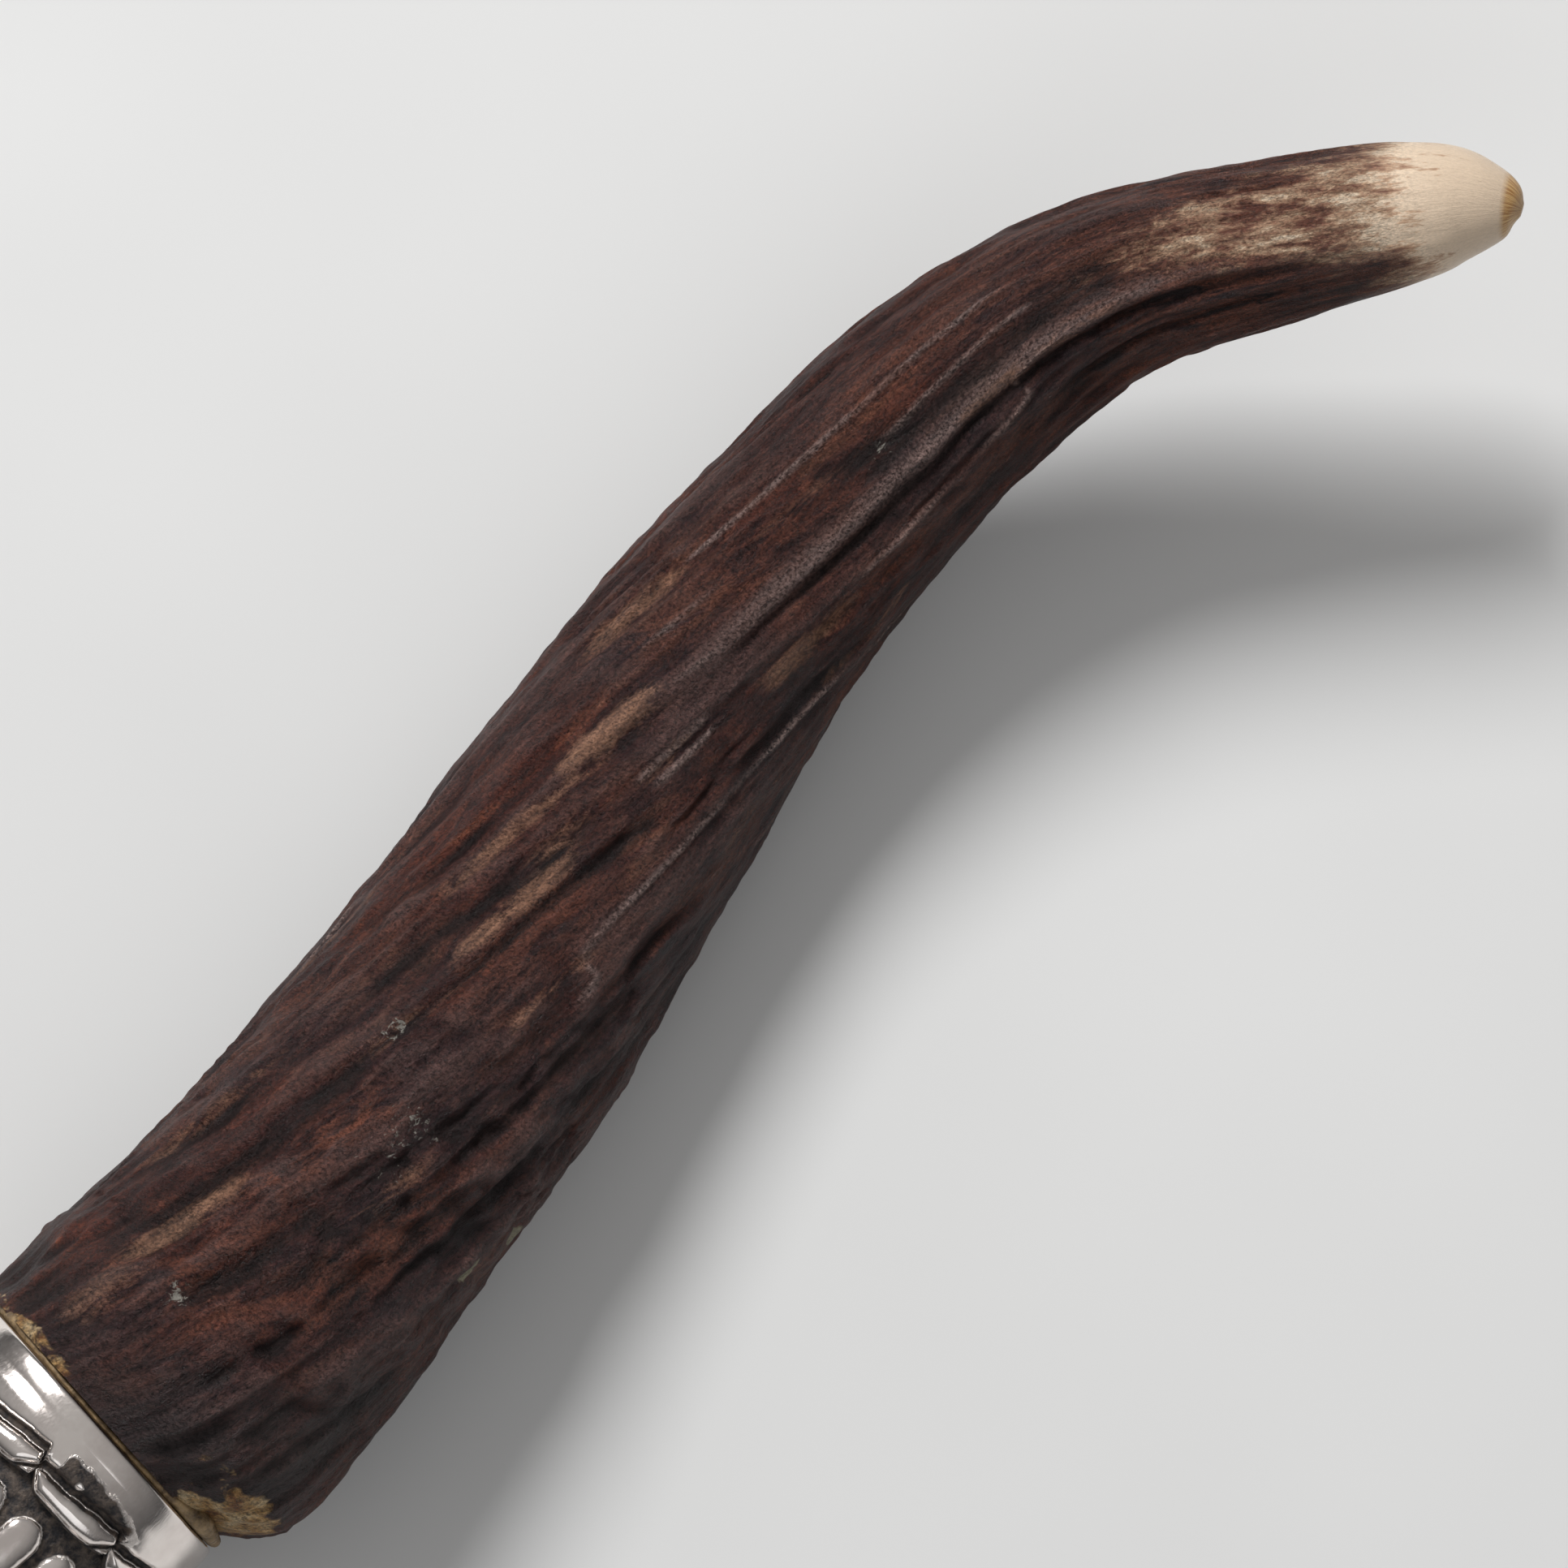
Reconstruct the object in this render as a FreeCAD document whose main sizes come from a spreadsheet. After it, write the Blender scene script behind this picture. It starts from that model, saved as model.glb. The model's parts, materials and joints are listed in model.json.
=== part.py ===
"""Carving-set sharpening steel with an antler handle, as a parametric FreeCAD document.

Every piece is drawn along the steel's own axis: X runs from the rod's tip to the handle, Y to the
handle's left and Z up.  One placement then lays the whole steel down the way it rests on a table,
on the rod's tip and on two places under the handle, with the origin under the middle of its box.
"""
import FreeCAD, Part
import math
import os

import Sketcher
from FreeCAD import Placement, Rotation, Vector

# alias: value in millimetres or degrees
DIMENSIONS = {
    # sharpening rod, from its tip to the bolster, and the tang behind it
    "rod_length": 205.0,
    "rod_nose_length": 5.0,
    "rod_nose_radius": 1.6,
    "rod_tip_radius": 3.9,
    "rod_root_radius": 4.7,
    "shank_length": 16.0,
    "shank_radius": 5.0,
    "tang_radius": 3.8,
    "tang_neck_radius": 3.2,
    "tang_end_radius": 2.0,
    "tang_reach": 34.0,
    # turned bolster
    "bolster_length": 9.0,
    "bolster_nose_radius": 6.2,
    "bolster_waist_radius": 6.6,
    "bolster_flange_radius": 8.4,
    "bolster_bead_length": 3.2,
    "bolster_flange_length": 2.2,
    "bolster_crown": 1.2,
    # ferrule: embossed shell, front plate, neck bead, polished band and lip
    "plate_thickness": 0.8,
    "ferrule_length": 30.0,
    "shell_thickness": 0.6,
    "shell_neck_radius": 9.0,
    "shell_neck_length": 3.0,
    "shell_belly_crown": 0.5,
    "shell_rear_radius": 10.4,
    "neck_ring_inset": 0.4,
    "neck_ring_width": 1.8,
    "neck_ring_edge": 0.1,
    "neck_ring_crown": 0.8,
    "band_width": 4.1,
    "band_edge": 0.45,
    "band_crown": 0.65,
    "lip_width": 1.5,
    "lip_edge": 0.55,
    "lip_crown": 0.35,
    # antler: joint with the ferrule, bore for the tang, and rounded tip
    "spigot_length": 9.0,
    "bore_radius": 3.8,
    "bore_clearance": 1.4,
    "glue_thickness": 0.4,
    "glue_crown": 0.18,
    "stag_tip_length": 7.1,
    # how the steel lies: height of its axis at the ferrule's rear rim, and the axis's slope
    "axis_height": 11.93,
    "axis_pitch": 1.919,
    "origin_from_tip": 183.17,
    "origin_to_left": 3.67,
}

# antler sections: distance behind the ferrule's rim, shift to the left, rise above the axis,
# width, height
ANTLER_SECTIONS = [
    (0.4, -0.3, 0.0, 22.8, 21.8),
    (4.0, -0.9, 0.1, 25.2, 23.9),
    (10.0, -0.6, -0.5, 24.8, 23.6),
    (22.0, 1.2, -1.5, 22.7, 21.6),
    (35.0, 3.7, -2.9, 21.1, 20.0),
    (48.0, 7.2, -4.2, 19.7, 18.6),
    (60.0, 10.5, -4.3, 18.3, 17.2),
    (73.0, 12.6, -3.0, 16.4, 15.5),
    (86.0, 13.3, -0.5, 14.8, 13.8),
    (98.0, 10.9, 2.2, 12.5, 12.0),
    (109.0, 5.1, 4.2, 10.5, 10.2),
    (115.5, 1.1, 5.2, 9.2, 8.9),
]
SECTION_FIELDS = ("run", "left", "rise", "width", "height")

# stations along the axis, from the rod's tip
SHOULDER = "dims.rod_length"
SHANK = "dims.rod_length - dims.shank_length"
PLATE = "dims.rod_length + dims.bolster_length"
FERRULE = PLATE + " + dims.plate_thickness"
RIM = FERRULE + " + dims.ferrule_length"
SPIGOT = RIM + " - dims.spigot_length"
TANG_END = RIM + " + dims.tang_reach"
BORE_END = TANG_END + " + dims.bore_clearance"
LIP = RIM + " - dims.lip_width"
BAND = LIP + " - dims.band_width"
NECK_RING = FERRULE + " + dims.neck_ring_inset"


def make_sheet(doc):
    """Put every driving dimension into a spreadsheet, one alias per row."""
    sheet = doc.addObject("Spreadsheet::Sheet", "dims")
    rows = dict(DIMENSIONS)
    for number, section in enumerate(ANTLER_SECTIONS, start=1):
        for field, size in zip(SECTION_FIELDS, section):
            rows[f"stag_{field}_{number}"] = size
    for row, (alias, size) in enumerate(rows.items(), start=1):
        sheet.set(f"A{row}", alias)
        sheet.set(f"B{row}", str(size))
        sheet.setAlias(f"B{row}", alias)
    doc.recompute()
    return sheet


def arc_radius(start, end, crown):
    """Radius, as an expression, of an arc between two corners that rises or sinks by crown."""
    chord = f"(({end[0]}) - ({start[0]}))^2 + (({end[1]}) - ({start[1]}))^2"
    return f"(({chord}) / 4 + ({crown})^2) / (2 * abs({crown}))"


def add_edge(sketch, start, end, crown, numbers):
    """Add one straight or crowned edge from corner to corner, and give its geometry index."""
    first, last = numbers
    if crown is None:
        return sketch.addGeometry(Part.LineSegment(first, last), False)
    along = (last - first).normalize()
    outward = Vector(along.y, -along.x, 0)
    rise = sketch.evalExpression(crown)
    middle = (first + last) * 0.5 + outward * float(rise)
    edge = sketch.addGeometry(Part.Arc(first, middle, last), False)
    made = sketch.addConstraint(Sketcher.Constraint("Radius", edge, sketch.Geometry[edge].Radius))
    sketch.setExpression(f"Constraints[{made}]", arc_radius(start, end, crown))
    return edge


def end_at(sketch, edge, corner):
    """Tell which end of an edge, 1 or 2, lies at a corner."""
    first = sketch.getPoint(edge, 1)
    return 1 if first.distanceToPoint(corner) < 1e-4 else 2


def turned_piece(doc, name, outline):
    """Make a body by turning a closed outline about X.

    An outline is a list of corners (distance along the axis, radius, crown), with the material on
    the left of its edges: crown is None for a straight edge from the corner before, or how far
    that edge stands out as an arc, or is hollowed where it is negative.
    """
    body = doc.addObject("PartDesign::Body", name)
    body.Label = name
    plane = next(item for item in body.Origin.OriginFeatures if item.Role == "XY_Plane")
    sketch = body.newObject("Sketcher::SketchObject", name + "_outline")
    sketch.AttachmentSupport = [(plane, "")]
    sketch.MapMode = "FlatFace"
    places = []
    for along, radius, _ in outline:
        spot = Vector(float(sketch.evalExpression(along)), float(sketch.evalExpression(radius)), 0)
        places.append(spot)
    edges = []
    for index, corner in enumerate(outline):
        before = outline[index - 1]
        numbers = (places[index - 1], places[index])
        edges.append(add_edge(sketch, before, corner, corner[2], numbers))
    for index, corner in enumerate(outline):
        edge = edges[index]
        after = edges[(index + 1) % len(edges)]
        place = places[index]
        end = end_at(sketch, edge, place)
        start = end_at(sketch, after, place)
        sketch.addConstraint(Sketcher.Constraint("Coincident", edge, end, after, start))
        fix_corner(sketch, edge, end, corner, place)
    revolution = body.newObject("PartDesign::Revolution", name + "_turned")
    revolution.Profile = sketch
    revolution.ReferenceAxis = (sketch, ["H_Axis"])
    revolution.Angle = 360
    body.Tip = revolution
    return body


def fix_corner(sketch, edge, end, corner, place):
    """Bind a corner's two coordinates to the sheet."""
    directions = (("DistanceX", corner[0], place.x), ("DistanceY", corner[1], place.y))
    for kind, expression, size in directions:
        made = sketch.addConstraint(Sketcher.Constraint(kind, -1, 1, edge, end, size))
        sketch.setExpression(f"Constraints[{made}]", expression)


def make_rod(doc):
    """Sharpening rod, plain shank and tapered tang, forged as one bar."""
    return turned_piece(doc, "sharpening_rod", [
        ("0", "0", None),
        (TANG_END, "0", None),
        (TANG_END, "dims.tang_end_radius", None),
        (SPIGOT, "dims.tang_neck_radius", None),
        (FERRULE, "dims.tang_radius", None),
        (SHOULDER, "dims.tang_radius", None),
        (SHOULDER, "dims.shank_radius", None),
        (SHANK, "dims.shank_radius", None),
        (SHANK, "dims.rod_root_radius", None),
        ("dims.rod_nose_length", "dims.rod_tip_radius", None),
        ("0", "dims.rod_nose_radius", None),
    ])


def make_bolster(doc):
    """Turned steel collar: a round bead, a waist and a flange against the ferrule."""
    bead_end = SHOULDER + " + dims.bolster_bead_length"
    flange = PLATE + " - dims.bolster_flange_length"
    return turned_piece(doc, "bolster", [
        (SHOULDER, "dims.tang_radius", None),
        (PLATE, "dims.tang_radius", None),
        (PLATE, "dims.bolster_flange_radius", None),
        (flange, "dims.bolster_flange_radius", "dims.lip_crown"),
        (bead_end, "dims.bolster_waist_radius", "-dims.lip_crown"),
        (SHOULDER, "dims.bolster_nose_radius", "dims.bolster_crown"),
    ])


def make_end_plate(doc):
    """Disc that closes the front of the ferrule round the tang."""
    return turned_piece(doc, "ferrule_end_plate", [
        (PLATE, "dims.tang_radius", None),
        (FERRULE, "dims.tang_radius", None),
        (FERRULE, "dims.shell_neck_radius", None),
        (PLATE, "dims.shell_neck_radius", None),
    ])


def make_shell(doc):
    """Thin embossed shell: narrow neck, full belly and a plain rear skirt."""
    neck_end = FERRULE + " + dims.shell_neck_length"
    inner_neck = "dims.shell_neck_radius - dims.shell_thickness"
    inner_rear = "dims.shell_rear_radius - dims.shell_thickness"
    return turned_piece(doc, "ferrule_shell", [
        (FERRULE, inner_neck, None),
        (neck_end, inner_neck, None),
        (BAND, inner_rear, "-dims.shell_belly_crown"),
        (RIM, inner_rear, None),
        (RIM, "dims.shell_rear_radius", None),
        (BAND, "dims.shell_rear_radius", None),
        (neck_end, "dims.shell_neck_radius", "dims.shell_belly_crown"),
        (FERRULE, "dims.shell_neck_radius", None),
    ])


def make_ring(doc, name, front, rear, bore, edge, crown):
    """Ring over the shell with low square edges and a crowned outside."""
    top = f"{bore} + {edge}"
    return turned_piece(doc, name, [
        (front, bore, None),
        (rear, bore, None),
        (rear, top, None),
        (front, top, crown),
    ])


def make_filling(doc):
    """Pitch that fills the ferrule in front of the antler's spigot."""
    neck_end = FERRULE + " + dims.shell_neck_length"
    return turned_piece(doc, "ferrule_filling", [
        (FERRULE, "dims.tang_radius", None),
        (SPIGOT, "dims.tang_neck_radius", None),
        (SPIGOT, "dims.shell_rear_radius - dims.shell_thickness", None),
        (neck_end, "dims.shell_neck_radius - dims.shell_thickness", None),
        (FERRULE, "dims.shell_neck_radius - dims.shell_thickness", None),
    ])


def make_tang_cement(doc):
    """Cement that fills the antler's bore round the tang."""
    return turned_piece(doc, "tang_cement", [
        (SPIGOT, "dims.tang_neck_radius", None),
        (TANG_END, "dims.tang_end_radius", None),
        (TANG_END, "0", None),
        (BORE_END, "0", None),
        (BORE_END, "dims.bore_radius", None),
        (SPIGOT, "dims.bore_radius", None),
    ])


def make_joint_glue(doc):
    """Glue squeezed out between the ferrule's rim and the antler's sawn face."""
    spigot_radius = "dims.shell_rear_radius - dims.shell_thickness"
    rear = RIM + " + dims.glue_thickness"
    return turned_piece(doc, "joint_glue", [
        (RIM, spigot_radius, None),
        (rear, spigot_radius, None),
        (rear, "dims.shell_rear_radius", None),
        (RIM, "dims.shell_rear_radius", "dims.glue_crown"),
    ])


def section_frames(sheet):
    """Centre, travel direction and leftward direction of each antler section."""
    count = len(ANTLER_SECTIONS)
    fields = SECTION_FIELDS[:3]
    centres = [Vector(*(sheet.get(f"stag_{field}_{n}") for field in fields))
               for n in range(1, count + 1)]
    frames = []
    for index, centre in enumerate(centres):
        before = centres[max(index - 1, 0)]
        after = centres[min(index + 1, count - 1)]
        travel = (after - before).normalize()
        if index == 0:
            travel = Vector(1, 0, 0)
        left = Vector(-travel.y, travel.x, 0).normalize()
        frames.append((centre, travel, left))
    return frames


def make_antler(doc, sheet):
    """Antler tine: lofted tine, rounded tip, turned spigot and the bore for the tang."""
    sections = []
    for number, (_, travel, left) in enumerate(section_frames(sheet), start=1):
        section = doc.addObject("Part::Ellipse", f"stag_section_{number}")
        section.setExpression("MajorRadius", f"dims.stag_width_{number} / 2")
        section.setExpression("MinorRadius", f"dims.stag_height_{number} / 2")
        section.Placement = Placement(Vector(), Rotation(left, Vector(), travel, "ZXY"))
        section.setExpression("Placement.Base.x", f"{RIM} + dims.stag_run_{number}")
        section.setExpression("Placement.Base.y", f"dims.stag_left_{number}")
        section.setExpression("Placement.Base.z", f"dims.stag_rise_{number}")
        sections.append(section)
    tine = doc.addObject("Part::Loft", "stag_tine")
    tine.Sections = sections
    tine.Solid = True

    last = len(sections)
    tip = doc.addObject("Part::Ellipsoid", "stag_tip")
    tip.setExpression("Radius1", "dims.stag_tip_length")
    tip.setExpression("Radius2", f"dims.stag_width_{last} / 2")
    tip.setExpression("Radius3", f"dims.stag_height_{last} / 2")
    tip.Placement = sections[-1].Placement
    for name, source in (("x", f"{RIM} + dims.stag_run_{last}"), ("y", f"dims.stag_left_{last}"),
                         ("z", f"dims.stag_rise_{last}")):
        tip.setExpression(f"Placement.Base.{name}", source)

    spigot = axial_cylinder(doc, "stag_spigot", SPIGOT,
                            "dims.shell_rear_radius - dims.shell_thickness",
                            "dims.spigot_length + dims.glue_thickness")
    blank = doc.addObject("Part::MultiFuse", "stag_blank")
    blank.Shapes = [tine, tip, spigot]
    bore = axial_cylinder(doc, "stag_bore", SPIGOT, "dims.bore_radius",
                          "dims.spigot_length + dims.tang_reach + dims.bore_clearance")
    antler = doc.addObject("Part::Cut", "antler_handle")
    antler.Label = "antler_handle"
    antler.Base = blank
    antler.Tool = bore
    return antler


def axial_cylinder(doc, name, start, radius, length):
    """Cylinder along the steel's axis."""
    cylinder = doc.addObject("Part::Cylinder", name)
    cylinder.Placement = Placement(Vector(), Rotation(Vector(0, 1, 0), 90))
    cylinder.setExpression("Placement.Base.x", start)
    cylinder.setExpression("Radius", radius)
    cylinder.setExpression("Height", length)
    return cylinder


def lay_down(pieces, sheet):
    """Tilt every piece to the resting slope and move the origin under the middle of the steel."""
    pitch = sheet.get("axis_pitch")
    rim = pieces[0].evalExpression(RIM)
    drop = math.radians(pitch)
    tip_height = sheet.get("axis_height") - float(rim) * math.sin(drop)
    base = Vector(-sheet.get("origin_from_tip"), -sheet.get("origin_to_left"), tip_height)
    for piece in pieces:
        piece.Placement = Placement(base, Rotation(Vector(0, -1, 0), pitch))


def check(doc, pieces):
    """Stop if any object failed or any piece isn't one sound solid."""
    for item in doc.Objects:
        if "Invalid" in item.State or "Error" in item.State:
            raise RuntimeError(f"{item.Name} failed: {item.State}")
    for piece in pieces:
        shape = piece.Shape
        if shape.isNull() or not shape.isValid() or len(shape.Solids) != 1:
            raise RuntimeError(f"{piece.Label} isn't one sound solid")
        box = shape.optimalBoundingBox()
        print(f"{piece.Label}: {shape.Volume:.0f} mm3, x {box.XMin:.2f}..{box.XMax:.2f}, "
              f"y {box.YMin:.2f}..{box.YMax:.2f}, z {box.ZMin:.2f}..{box.ZMax:.2f}")


def main():
    doc = FreeCAD.newDocument("sharpening_steel")
    sheet = make_sheet(doc)
    rear = "dims.shell_rear_radius"
    pieces = [
        make_rod(doc),
        make_bolster(doc),
        make_end_plate(doc),
        make_shell(doc),
        make_ring(doc, "ferrule_neck_ring", NECK_RING, NECK_RING + " + dims.neck_ring_width",
                  "dims.shell_neck_radius", "dims.neck_ring_edge", "dims.neck_ring_crown"),
        make_ring(doc, "ferrule_band", BAND, LIP, rear, "dims.band_edge", "dims.band_crown"),
        make_ring(doc, "ferrule_lip_ring", LIP, RIM, rear, "dims.lip_edge", "dims.lip_crown"),
        make_filling(doc),
        make_tang_cement(doc),
        make_joint_glue(doc),
        make_antler(doc, sheet),
    ]
    doc.recompute()
    lay_down(pieces, sheet)
    doc.recompute()
    check(doc, pieces)
    os.makedirs("parts", exist_ok=True)
    for piece in pieces:
        piece.Shape.exportStep(f"parts/{piece.Label}.step")


main()
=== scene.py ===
"""Sharpening steel with an antler handle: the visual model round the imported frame."""
import itertools
import json
import math

import bmesh
import bpy
import numpy as np
from mathutils import Matrix, Vector


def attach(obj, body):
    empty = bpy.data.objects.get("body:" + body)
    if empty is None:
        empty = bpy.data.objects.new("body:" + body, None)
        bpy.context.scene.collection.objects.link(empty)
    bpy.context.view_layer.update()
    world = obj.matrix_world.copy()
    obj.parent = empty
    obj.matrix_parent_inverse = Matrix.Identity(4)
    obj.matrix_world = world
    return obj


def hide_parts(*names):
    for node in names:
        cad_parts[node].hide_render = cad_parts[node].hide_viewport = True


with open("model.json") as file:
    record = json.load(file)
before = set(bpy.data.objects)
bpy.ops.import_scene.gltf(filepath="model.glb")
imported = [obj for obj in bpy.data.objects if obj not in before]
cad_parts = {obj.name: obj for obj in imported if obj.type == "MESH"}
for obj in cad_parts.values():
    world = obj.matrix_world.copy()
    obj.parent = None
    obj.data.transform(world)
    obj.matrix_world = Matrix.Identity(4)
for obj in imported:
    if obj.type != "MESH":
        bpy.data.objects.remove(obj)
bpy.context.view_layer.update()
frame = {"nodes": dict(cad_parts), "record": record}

# Everything is drawn in millimetres along the steel's own axis: X towards the handle from the
# ferrule's rear rim, Y to the left, Z up.  Angles run from the left over the top to the right.
MM = 0.001
TURN = 2 * math.pi
# edges sharper than this, in degrees, stay sharp on plain pieces and on pieces with relief
PLAIN_EDGE, RELIEF_EDGE = 50.0, 60.0
SHANK = frame["record"]["mounts"][0]
FORWARD = -Vector(SHANK["axis"]).normalized()
LEFT = Vector((0, 1, 0))
UP = FORWARD.cross(LEFT).normalized()
BASIS = np.array([FORWARD, LEFT, UP])


def local_points(node, origin):
    """A CAD node's vertices in millimetres along and across the axis."""
    corners = np.array([vertex.co for vertex in frame["nodes"][node].data.vertices])
    return (corners - np.array(origin)) @ BASIS.T / MM


def find_rim():
    """Centre of the ferrule's rear rim, in the row frame."""
    start = Vector(SHANK["pos_m"])
    reach = local_points("ferrule_lip_ring", start)[:, 0].max()
    return start + FORWARD * reach * MM


RIM = find_rim()


def span(node):
    """First station, last station and largest radius of a turned node."""
    local = local_points(node, RIM)
    return local[:, 0].min(), local[:, 0].max(), np.hypot(local[:, 1], local[:, 2]).max()


# ---------------------------------------------------------------- shapes

def between(low, high, values):
    """Smooth step from 0 at low to 1 at high."""
    part = np.clip((values - low) / (high - low), 0, 1)
    return part * part * (3 - 2 * part)


def bell(distance, width):
    """Rounded bump that is 1 at zero distance."""
    return np.exp(-(distance / width) ** 2)


def smooth_curve(places, values, at):
    """Cubic curve through a few knots."""
    places, values = np.asarray(places, float), np.asarray(values, float)
    slopes = np.gradient(values, places)
    index = np.clip(np.searchsorted(places, at) - 1, 0, len(places) - 2)
    step = places[index + 1] - places[index]
    part = np.clip((at - places[index]) / step, 0, 1)
    rest = 1 - part
    start = (1 + 2 * part) * rest ** 2 * values[index] + part * rest ** 2 * step * slopes[index]
    end = part ** 2 * (3 - 2 * part) * values[index + 1]
    return start + end - part ** 2 * rest * step * slopes[index + 1]


def angle_gap(angles, centre):
    """Signed difference between angles, within half a turn."""
    return (angles - centre + math.pi) % TURN - math.pi


def lattice(cells, seed):
    """Repeatable number from 0 to 1 for each lattice cell."""
    mixed = (cells[0] * 73856093) ^ (cells[1] * 19349663) ^ (cells[2] * 83492791) ^ (seed * 7919)
    mixed &= 0xFFFFFFFF
    mixed = ((mixed ^ (mixed >> 13)) * 1274126177) & 0xFFFFFFFF
    mixed ^= mixed >> 16
    return (mixed & 0xFFFF) / 65535


def value_noise(places, seed):
    """Smooth noise from -1 to 1 at places, an array whose first axis is x, y, z."""
    cells = np.floor(places).astype(np.int64)
    part = places - cells
    part = part ** 3 * (part * (part * 6 - 15) + 10)
    total = 0
    for corner in itertools.product((0, 1), repeat=3):
        weight = 1
        for axis in range(3):
            weight = weight * (part[axis] if corner[axis] else 1 - part[axis])
        shifted = [cells[axis] + corner[axis] for axis in range(3)]
        total = total + weight * lattice(shifted, seed)
    return total * 2 - 1


def round_noise(along, angles, length, count, seed, octaves=2):
    """Noise on a round bar: features of a given length, count of them round the bar."""
    reach = count / TURN
    places = np.array(np.broadcast_arrays(along / length, reach * np.cos(angles),
                                          reach * np.sin(angles)))
    total, weight = 0, 1
    for octave in range(octaves):
        total = total + weight * value_noise(places * 2 ** octave + 17 * octave, seed + octave)
        weight /= 2
    return total


def grid_faces(rows, columns, closed_rows):
    """Quads of a grid that closes round its columns, and round its rows if asked."""
    faces = []
    for row in range(rows if closed_rows else rows - 1):
        after = (row + 1) % rows
        for column in range(columns):
            beside = (column + 1) % columns
            faces.append((row * columns + column, after * columns + column,
                          after * columns + beside, row * columns + beside))
    return faces


def tube_faces(rows, columns):
    """Quads of a tube, and one face over each of its ends."""
    last_row = range((rows - 1) * columns, rows * columns)
    return grid_faces(rows, columns, False) + [tuple(range(columns)), tuple(last_row)]


def ring_at(station, radius, angles):
    """Points round the axis at one station; station and radius may also vary with the angle."""
    station = station + 0 * angles
    return np.stack([station, radius * np.cos(angles), radius * np.sin(angles)], axis=-1)


def make_piece(name, points, faces, material, sharp_angle=PLAIN_EDGE, attributes=None):
    """Make an object from local points, riding on the root body, with outward normals."""
    mesh = bpy.data.meshes.new(name)
    mesh.from_pydata((np.array(RIM) + points @ BASIS * MM).tolist(), [], faces)
    for attribute, numbers in (attributes or {}).items():
        vector = numbers.ndim == 2
        layer = mesh.attributes.new(attribute, "FLOAT_VECTOR" if vector else "FLOAT", "POINT")
        layer.data.foreach_set("vector" if vector else "value", numbers.astype(np.float32).ravel())
    work = bmesh.new()
    work.from_mesh(mesh)
    bmesh.ops.recalc_face_normals(work, faces=work.faces)
    work.to_mesh(mesh)
    work.free()
    mesh.polygons.foreach_set("use_smooth", [True] * len(mesh.polygons))
    mesh.set_sharp_from_angle(angle=math.radians(sharp_angle))
    mesh.materials.append(material)
    piece = bpy.data.objects.new(name, mesh)
    bpy.context.scene.collection.objects.link(piece)
    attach(piece, "root")
    return piece


def soften_corner(before, corner, after, radius, steps):
    """An arc in place of a corner, with a support point on either side of it."""
    before, corner, after = [np.array(place, float) for place in (before, corner, after)]
    before, after = before - corner, after - corner
    reach = min(radius, np.linalg.norm(before) * 0.4, np.linalg.norm(after) * 0.4)
    first = before / np.linalg.norm(before) * reach
    last = after / np.linalg.norm(after) * reach
    parts = np.linspace(0, 1, steps + 1)
    rounded = [corner + (1 - part) ** 2 * first + part ** 2 * last for part in parts]
    return [corner + first * 1.2] + rounded + [corner + last * 1.2]


def soften(outline, radius, steps=4):
    """Round every corner of a closed outline."""
    softened = []
    for index, corner in enumerate(outline):
        after = outline[(index + 1) % len(outline)]
        softened += soften_corner(outline[index - 1], corner, after, radius, steps)
    return softened


def arc(start, end, crown, steps=14):
    """Points after start up to end on a parabola that stands out from the chord by crown."""
    start, end = np.array(start, float), np.array(end, float)
    chord = end - start
    outward = np.array([chord[1], -chord[0]]) / np.linalg.norm(chord)
    return [start + chord * part + outward * crown * 4 * part * (1 - part)
            for part in np.linspace(0, 1, steps + 1)[1:]]


def turn_outline(name, outline, around, material, change=None):
    """Turn a closed outline of (station, radius) about the axis; change may vary the radius."""
    outline = np.array(outline)
    angles = np.arange(around) * TURN / around
    along, radius = outline[:, :1], outline[:, 1:]
    if change:
        radius = change(along, angles[None, :], radius)
    points = ring_at(along, radius, angles)
    faces = grid_faces(len(outline), around, True)
    return make_piece(name, points.reshape(-1, 3), faces, material)


# ---------------------------------------------------------------- materials

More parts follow.
